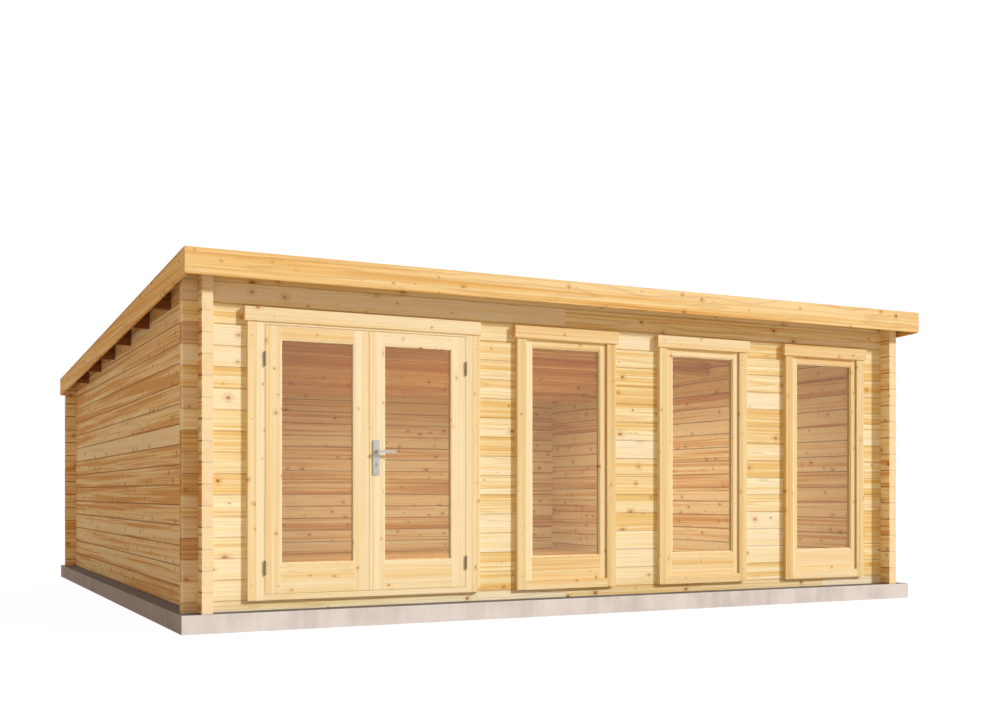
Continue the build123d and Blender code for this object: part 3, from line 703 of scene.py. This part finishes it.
def mitred(profile, low, high):
    """Frame round a rectangle in XZ: a profile point (inward, forward) moves in from each corner."""
    profile = np.asarray(profile, float)
    corner = np.array([[0, 0], [1, 0], [1, 1], [0, 1]])
    inward = 1 - 2 * corner
    x = low[0] + corner[:, :1] * (high[0] - low[0]) + inward[:, :1] * profile[:, 0]
    z = low[2] + corner[:, 1:] * (high[2] - low[2]) + inward[:, 1:] * profile[:, 0]
    y = low[1] - profile[:, 1] + 0 * x
    return np.stack([x, y, z], 2), tube_faces(1, 4, len(profile), True)


def turned(profile, centres, axis, sides):
    """Turned pieces: each profile point (radius, height) circles the axis through each centre."""
    profile = np.asarray(profile, float)
    axis = np.asarray(axis, float)
    side = np.cross(axis, (0.0, 0.0, 1.0)) if abs(axis[2]) < 0.9 else np.array([1.0, 0.0, 0.0])
    side = side / np.linalg.norm(side)
    other = np.cross(axis, side)
    angle = np.linspace(0, 2 * math.pi, sides, endpoint=False)[:, None]
    circle = np.cos(angle) * side + np.sin(angle) * other
    shape = profile[:, None, :1] * circle[None] + profile[:, None, 1:] * axis
    points = np.asarray(centres, float)[:, None, None, :] + shape[None]
    return points, tube_faces(len(points), len(profile), sides, False)


# %% [markdown]
# Roof boards
#
# The roof is lined with boards that lie across the purlins and fall with the roof, each with
# chamfered lower edges, so that the joints show from below as a row of V grooves. The CAD model
# has one slab for them. Here each board is a bar of its own that replaces it.

# %% Lay the roof boards
roof_low, roof_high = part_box("roof_boards")
BOARD = 96 * MM
V = 4 * MM
roof_thick = 19 * MM
ROOF_PIECE = 7.5
board_count = round((roof_high.x - roof_low.x) / BOARD)
board_width = (roof_high.x - roof_low.x) / board_count
half = board_width / 2 - 0.3 * MM
board_profile = [(-half, roof_thick), (half, roof_thick), (half, V),
                 (half - V, 0), (V - half, 0), (-half, V)]
board_x = roof_low.x + board_width * (np.arange(board_count) + 0.5)
front_ends = np.stack([board_x, np.full(board_count, roof_low.y),
                       np.full(board_count, roof_high.z - roof_thick)], 1)
rear_ends = np.stack([board_x, np.full(board_count, roof_high.y), np.full(board_count, roof_low.z)], 1)
deck_wood = timber("spruce_roof_lining", "flat", (ROOF_PIECE, board_width, WHOLE),
                   (-ROOF_PIECE / 2, roof_low.x, -WHOLE / 2), gap=(0.2, board_width), **ROOF)
roof_lining = piece("roof_lining_boards", *bars(board_profile, front_ends, rear_ends, (1, 0, 0), (0, 0, 1)),
                    deck_wood, "roof_timber")
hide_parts("roof_boards")

# %% [markdown]
# Floor boards
#
# The floor is nailed to the bearers, so its boards run across them, along X. Their upper edges are
# eased by two or three millimetres, and each is a bar with that profile.

# %% Lay the floor
floor_low, floor_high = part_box("floor_boards")
floor_thick = floor_high.z - floor_low.z
FLOOR_BOARD = 120 * MM
FLOOR_PIECE = 3.4
floor_count = round((floor_high.y - floor_low.y) / FLOOR_BOARD)
plank = (floor_high.y - floor_low.y) / floor_count
half = plank / 2 - 0.4 * MM
ease = 2.5 * MM
plank_profile = [(-half, 0), (half, 0), (half, floor_thick - ease), (half - ease, floor_thick),
                 (ease - half, floor_thick), (-half, floor_thick - ease)]
plank_y = floor_low.y + plank * (np.arange(floor_count) + 0.5)
lows = np.stack([np.full(floor_count, floor_low.x), plank_y, np.full(floor_count, floor_low.z)], 1)
highs = lows + np.array([floor_high.x - floor_low.x, 0, 0])
floor_wood = timber("spruce_floor", "floor", (FLOOR_PIECE, plank, WHOLE), (0.0, floor_low.y, -WHOLE / 2),
                    stagger=1.0, gap=(0.2, plank), **ROOF)
floor_planks = piece("floor_planks", *bars(plank_profile, lows, highs, (0, 1, 0), (0, 0, 1)),
                     floor_wood, "floor_timber")
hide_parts("floor_boards")

# %% [markdown]
# Glazing beads
#
# A pane is held in its frame by slim beads, mitred at the corners, with one rounded edge. They
# stand on the glass, inside and outside, and stay below the face of the stiles.


# %% Fit the beads
BEAD = 11 * MM
BEAD_DEPTH = 9 * MM


def bead_profile(deep):
    """Section of a bead: flat on frame and glass, with a quarter ellipse on its free edge."""
    angle = np.linspace(0, math.pi / 2, 5)
    arc = np.stack([BEAD * np.sin(angle) * 0.55 + BEAD * 0.45, deep * 0.5 + deep * 0.5 * np.cos(angle)], 1)
    return [(0, 0), (0, deep), *arc.tolist(), (BEAD, 0)]


def spans(node, count):
    """Left and right X of each of some separate boxes in a node, as rows of an array."""
    x = np.unique(np.round([v.co.x for v in nodes[node].data.vertices], 4))
    return x.reshape(count, 2)


def beads(name, node, groove, body, panes=1):
    """Beads on both faces of each pane of a glass node, whose edges sit in grooves."""
    low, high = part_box(node)
    shapes = []
    for left, right in spans(node, panes):
        corner_high = (right - groove, high.y, high.z - groove)
        for face, forward in ((low.y, 1), (high.y, -1)):
            profile = [(a, b * forward) for a, b in bead_profile(BEAD_DEPTH)]
            shapes.append(mitred(profile, (left + groove, face, low.z + groove), corner_high))
    points = np.concatenate([shape[0].reshape(-1, 3) for shape in shapes])
    step = shapes[0][0].size // 3
    faces = [[v + n * step for v in face] for n, shape in enumerate(shapes) for face in shape[1]]
    return piece(name, points, faces, joinery["spruce_jambs"], "joinery_timber", body)


GROOVE = 8 * MM
beads("window_beads", "window_glass", GROOVE, "root", 3)
beads("door_left_beads", "door_left_glass", GROOVE, "door_left")
beads("door_right_beads", "door_right_glass", GROOVE, "door_right")

# %% [markdown]
# Draught strips
#
# Round each door leaf there is a gap of 6 mm so that it can swing. A slim strip closes part of it,
# a little behind the face, so that the gap reads as a pale groove and not as a black slot. Those
# round the frame stay with it, and the one between the leaves rides on the right leaf.

# %% Fit the draught strips
STRIP = 3.4 * MM
leaf_low = left_leaf[0]
leaf_high = right_leaf[1]
meet = right_leaf[0].x
GAP = 6 * MM
strip_y = leaf_low.y + 2 * MM
x0 = leaf_low.x - GAP
x1 = leaf_high.x + GAP
z0 = leaf_low.z - GAP
z1 = leaf_high.z + GAP
DEEP_IN = 12 * MM
frame_strip = [(0, 0), (0, -DEEP_IN), (STRIP, -DEEP_IN), (STRIP, -1 * MM), (STRIP - 1 * MM, 0)]
piece("frame_draught_strips", *mitred(frame_strip, (x0, strip_y, z0), (x1, strip_y, z1)),
      joinery["spruce_jambs"], "joinery_timber")
piece("leaf_draught_strip",
      *bars([(0, 0), (-STRIP, 0), (-STRIP, DEEP_IN), (0, DEEP_IN)],
            [(meet, strip_y, leaf_low.z)], [(meet, strip_y, leaf_high.z)], (1, 0, 0), (0, 1, 0)),
      joinery["spruce_jambs"], "joinery_timber", "door_right")

# %% [markdown]
# Screws and nails
#
# The trims are fixed with small screws and the edge boards with pairs of nails. Each head is a
# shallow turned shape with a dished middle: twelve sides are plenty for a head of 8 mm.

# %% Drive them
zinc = make_steel("zinc_plated_screws", "#8C887F", "#B5B1A8", 0.45)
HEAD = [(4 * MM, -1 * MM), (4 * MM, 0.3 * MM), (3.2 * MM, 0.9 * MM), (1.6 * MM, 0.9 * MM),
        (1.2 * MM, 0.3 * MM), (0.3 * MM, 0.3 * MM)]
HEAD_SIDES = 12
SCREW_END = 110 * MM
SCREW_STEP = 0.59
NAIL_END = 60 * MM
NAIL_STEP = 0.6
NAIL_EDGE = 45 * MM
BARGE_DEPTH = 181 * MM


def along_board(low, high, axis, end_margin, step):
    """Evenly spaced places along one axis between two margins, about a step apart."""
    first = low[axis] + end_margin
    last = high[axis] - end_margin
    return np.linspace(first, last, max(2, round((last - first) / step) + 1))


def upright_screws(node, count):
    """Places of screws along the middle of each upright board of a node, on its front face."""
    low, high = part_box(node)
    heights = along_board(low, high, 2, SCREW_END, SCREW_STEP)
    middles = spans(node, count).mean(1)
    return np.array(np.meshgrid(middles, [low.y], heights)).reshape(3, -1).T


def fascia_nails(low, high, face):
    """Places of pairs of nails along a level edge board, on the face at a given Y."""
    nail_x = along_board(low, high, 0, NAIL_END, NAIL_STEP)
    heights = [low.z + NAIL_EDGE, high.z - NAIL_EDGE]
    return np.array(np.meshgrid(nail_x, [face], heights)).reshape(3, -1).T


front_low, front_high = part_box("fascia_front")
spots = np.concatenate([upright_screws("door_trims", 2), upright_screws("window_trims", 6),
                        fascia_nails(front_low, front_high, front_low.y)])
piece("front_screws", *turned(HEAD, spots, (0, -1, 0), HEAD_SIDES), zinc, "satin_steel")

rear_low, rear_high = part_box("fascia_rear")
spots = fascia_nails(rear_low, rear_high, rear_high.y)
piece("rear_nails", *turned(HEAD, spots, (0, 1, 0), HEAD_SIDES), zinc, "satin_steel")

for side, sign in (("left", -1), ("right", 1)):
    low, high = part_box(f"barge_board_{side}")
    nail_y = along_board(low, high, 1, NAIL_END, NAIL_STEP)
    top = high.z + (low.z + BARGE_DEPTH - high.z) * (nail_y - low.y) / (high.y - low.y)
    face = high.x if sign > 0 else low.x
    spots = np.concatenate([np.stack([np.full(len(nail_y), face), nail_y, top - drop], 1)
                            for drop in (NAIL_EDGE, BARGE_DEPTH - NAIL_EDGE)])
    piece(f"{side}_barge_nails", *turned(HEAD, spots, (sign, 0, 0), HEAD_SIDES), zinc, "satin_steel")

# %% [markdown]
# Lock
#
# Under the lever sits a profile cylinder: a round plug with a keyhole above a narrower stem. Its
# outline is an arc of a circle joined to a slot. It stands a little proud of both plates, and the
# plates are held by two screws each.

# %% Fit the cylinder
plate_low, plate_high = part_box("door_handle_plates")
LEVER_OVER_FOOT = 173 * MM
LOCK_UNDER_LEVER = 92 * MM
PLUG_RADIUS = 8.5 * MM
STEM_RADIUS = 5 * MM
STEM_DROP = 20 * MM
lock_x = (plate_low.x + plate_high.x) / 2
lock_z = plate_low.z + LEVER_OVER_FOOT - LOCK_UNDER_LEVER
angle = np.linspace(math.radians(-55), math.radians(235), 20)
plug = PLUG_RADIUS * np.stack([np.cos(angle), np.sin(angle)], 1)
foot = np.linspace(math.radians(180), math.radians(360), 8)
stem = STEM_RADIUS * np.stack([np.cos(foot), np.sin(foot)], 1) - np.array([0, STEM_DROP])
cylinder_outline = np.concatenate([plug, stem])
PROUD = 2 * MM
front_start = (lock_x, plate_low.y - PROUD, lock_z)
rear_end = (lock_x, plate_high.y + PROUD, lock_z)
nickel = make_steel("nickel_plated_lock", "#8F8A7C", "#B9B4A6", 0.3)
piece("lock_cylinder", *bars(cylinder_outline, [front_start], [rear_end], (1, 0, 0), (0, 0, 1)),
      nickel, "satin_steel", "door_right")

# %% Keyhole and plate screws
# The keyhole is a thin slab of near-black steel on the plug's faces: painted shade of the slot.
dark = make_steel("keyhole_painted_shade", "#24221F", "#3A3733", 0.5)
KEY = [(-1 * MM, -4.5 * MM), (1 * MM, -4.5 * MM), (1 * MM, 4.5 * MM), (-1 * MM, 4.5 * MM)]
OUT = 0.4 * MM
IN = 1 * MM
key_faces = ((plate_low.y - PROUD, -OUT, IN), (plate_high.y + PROUD, -IN, OUT))
key_starts = [(lock_x, face + start, lock_z) for face, start, end in key_faces]
key_ends = [(lock_x, face + end, lock_z) for face, start, end in key_faces]
piece("keyway", *bars(KEY, key_starts, key_ends, (1, 0, 0), (0, 0, 1)), dark, "satin_steel", "door_right")
PLATE_SCREW = 20 * MM
PLATE_HEAD_SIDES = 16
screw_z = [plate_low.z + PLATE_SCREW, plate_high.z - PLATE_SCREW]
front_spots = [(lock_x, plate_low.y, z) for z in screw_z]
rear_spots = [(lock_x, plate_high.y, z) for z in screw_z]
piece("front_plate_screws", *turned(HEAD, front_spots, (0, -1, 0), PLATE_HEAD_SIDES),
      zinc, "satin_steel", "door_right")
piece("rear_plate_screws", *turned(HEAD, rear_spots, (0, 1, 0), PLATE_HEAD_SIDES),
      zinc, "satin_steel", "door_right")

# %% [markdown]
# Laps of the felt
#
# The rolls are laid across the fall of the roof, from the low edge up, and each covers the one
# below by a hand's width. A lap shows as a low step, so each is a flat wedge that is thickest at
# its lower edge, laid on the slope.

# %% Lay the laps
lap_felt = make_felt("slate_felt_laps", 0.0)
cover_low, cover_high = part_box("roof_covering")
TURNED_DOWN = 10 * MM
LEAST_ROLL = 0.2
fall = (cover_low.z + TURNED_DOWN - cover_high.z) / (cover_high.y - cover_low.y)
lap_y = np.arange(cover_high.y - ROLL, cover_low.y + LEAST_ROLL, -ROLL)
lap_profile = [(0, -1 * MM), (0, 3.2 * MM), (-60 * MM, 2.6 * MM), (-120 * MM, 0.2 * MM),
               (-120 * MM, -1 * MM)]
slope = np.array([0, 1, fall]) / math.hypot(1, fall)
normal = np.array([0, -fall, 1]) / math.hypot(1, fall)
lap_z = cover_high.z + fall * (lap_y - cover_low.y)
sides = (cover_low.x + 1 * MM, cover_high.x - 1 * MM)
ends = [np.stack([np.full(len(lap_y), x), lap_y, lap_z], 1) for x in sides]
piece("felt_laps", *bars(lap_profile, *ends, slope, normal), lap_felt, "roof_membrane")

# %% [markdown]
# Studio
#
# The floor is plain and pale. It looks white to the camera and in reflections, but throws little
# light up at the walls, so that their undersides stay in shade. A light path tells the shader who
# is asking. It still shows a faint shadow, because 15% of it is a matt surface.


# %% Floor
def straight_views(tree):
    """1 for rays from the camera and for those that glossy or clear surfaces pass on."""
    paths = add(tree, "LightPath", 0).node.outputs
    seen = add(tree, "Math", 0, (paths["Is Camera Ray"], paths["Is Glossy Ray"]), operation="MAXIMUM")
    return add(tree, "Math", 0, (seen, paths["Is Transmission Ray"]), operation="MAXIMUM")


HALF_FLOOR = 60.0
corners = [(x * HALF_FLOOR, y * HALF_FLOOR, 0) for x, y in ((-1, -1), (1, -1), (1, 1), (-1, 1))]
sheet = bpy.data.meshes.new("studio_floor")
sheet.from_pydata(corners, [], [(0, 1, 2, 3)])
floor = bpy.data.objects.new("studio_floor", sheet)
bpy.context.scene.collection.objects.link(floor)
paper, tree = new_material("pale_floor")
share = add(tree, "Math", 0, (straight_views(tree), 0.85), operation="MULTIPLY")
matt = add(tree, "BsdfDiffuse", 0, ((0.7, 0.63, 0.55, 1.0),))
white = add(tree, "Emission", 0, ((1, 1, 1, 1), 1.13))
add(tree, "OutputMaterial", None, (add(tree, "MixShader", 0, (share, matt, white)),))
sheet.materials.append(paper)
floor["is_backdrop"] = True
print(floor.name, "is", 2 * HALF_FLOOR, "m square")

# %% [markdown]
# Light
#
# A soft sun from the front right lights the front and leaves the left wall in shade. The sky fills
# the shade with a slightly warm light, at a level where a colour renders about as it is written,
# and looks white to the camera. A broad light from below the front stands for what pale ground
# throws back up under the eaves, and a weak one from behind keeps the far sides clear of gloom.
# Inside, a broad warm lamp under the purlins lights the room, as when a cabin is shown, and a weak
# one lower down keeps the roof lining from going black.


# %% Sky and lamps
def lamp(name, kind, energy, aim, place=(0, 0, 0), **settings):
    """Lamp of a kind that shines along aim, unseen by the camera. Only suns glint on steel."""
    light = bpy.data.lights.new(name, kind)
    light.energy = energy
    for key, value in settings.items():
        setattr(light, key, value)
    made = bpy.data.objects.new(name, light)
    made.location = place
    made.rotation_euler = Vector(aim).to_track_quat("-Z", "Y").to_euler()
    made.visible_camera = False
    made.visible_glossy = kind == "SUN"
    bpy.context.scene.collection.objects.link(made)
    print(name, "of kind", kind, "and strength", energy)
    return made


SKY_LEVEL = 0.5
world = bpy.data.worlds.new("studio")
bpy.context.scene.world = world
world.use_nodes = True
tree = world.node_tree
tree.nodes.clear()
seen = straight_views(tree)
level = add(tree, "MapRange", 0, {0: seen, 3: SKY_LEVEL, 4: 1.0})
tint = add(tree, "Mix", 2, {0: seen, 6: linear("#FFDBB8"), 7: (1, 1, 1, 1)}, data_type="RGBA")
add(tree, "OutputWorld", None, {"Surface": add(tree, "Background", 0, (tint, level))})

lamp("sun", "SUN", 2.31, (-1.0, 1.0, -0.7), angle=math.radians(5))
lamp("back_light", "SUN", 1.0, (-0.45, -1.0, -0.5), angle=math.radians(40),
     color=(1.0, 0.97, 0.92))
lamp("ground_light", "SUN", 1.15, (-0.7, 1.0, 0.8), angle=math.radians(60),
     color=(1.0, 0.72, 0.42))
WARM = (1.0, 0.92, 0.8)
DOWN = (0, 0, -1)
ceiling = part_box("purlins")[0].z
lamp("room_lamp", "AREA", 68, DOWN, (0.6, 0.0, ceiling - 0.08), shape="RECTANGLE", size=3.6,
     size_y=4, color=WARM)
lamp("room_glow", "POINT", 10, DOWN, (0.6, 0.2, 1.1), shadow_soft_size=0.5, color=WARM)

# %% [markdown]
# Camera
#
# The camera stands to the left of the front, a little under a metre above the ground, and looks
# level, so that all uprights stay parallel. The lens is shifted up, as on a view camera, to bring
# the roof into the picture.

# %% Place the camera
SENSOR = 36.0
FOCAL_PIXELS = 1206.94
PICTURE_WIDTH = 1000
PICTURE_HEIGHT = 710
HORIZON = 493.92
EYE_PLACE = (-5.102, -11.5692, 0.9648)
HEADING = -26.7256
eye = bpy.data.cameras.new("camera")
eye.sensor_width = SENSOR
eye.lens = FOCAL_PIXELS * SENSOR / PICTURE_WIDTH
eye.shift_y = (HORIZON - PICTURE_HEIGHT / 2) / PICTURE_WIDTH
camera = bpy.data.objects.new("camera", eye)
camera.location = EYE_PLACE
camera.rotation_euler = (math.radians(90), 0, math.radians(HEADING))
bpy.context.scene.collection.objects.link(camera)
bpy.context.scene.camera = camera
bpy.context.scene.view_settings.view_transform = "Standard"
print("camera at", EYE_PLACE, "with a lens of", round(eye.lens, 2), "mm")

# %% Sizes for the record, and finish
low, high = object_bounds()
print("visual model from", tuple(low), "to", tuple(high))
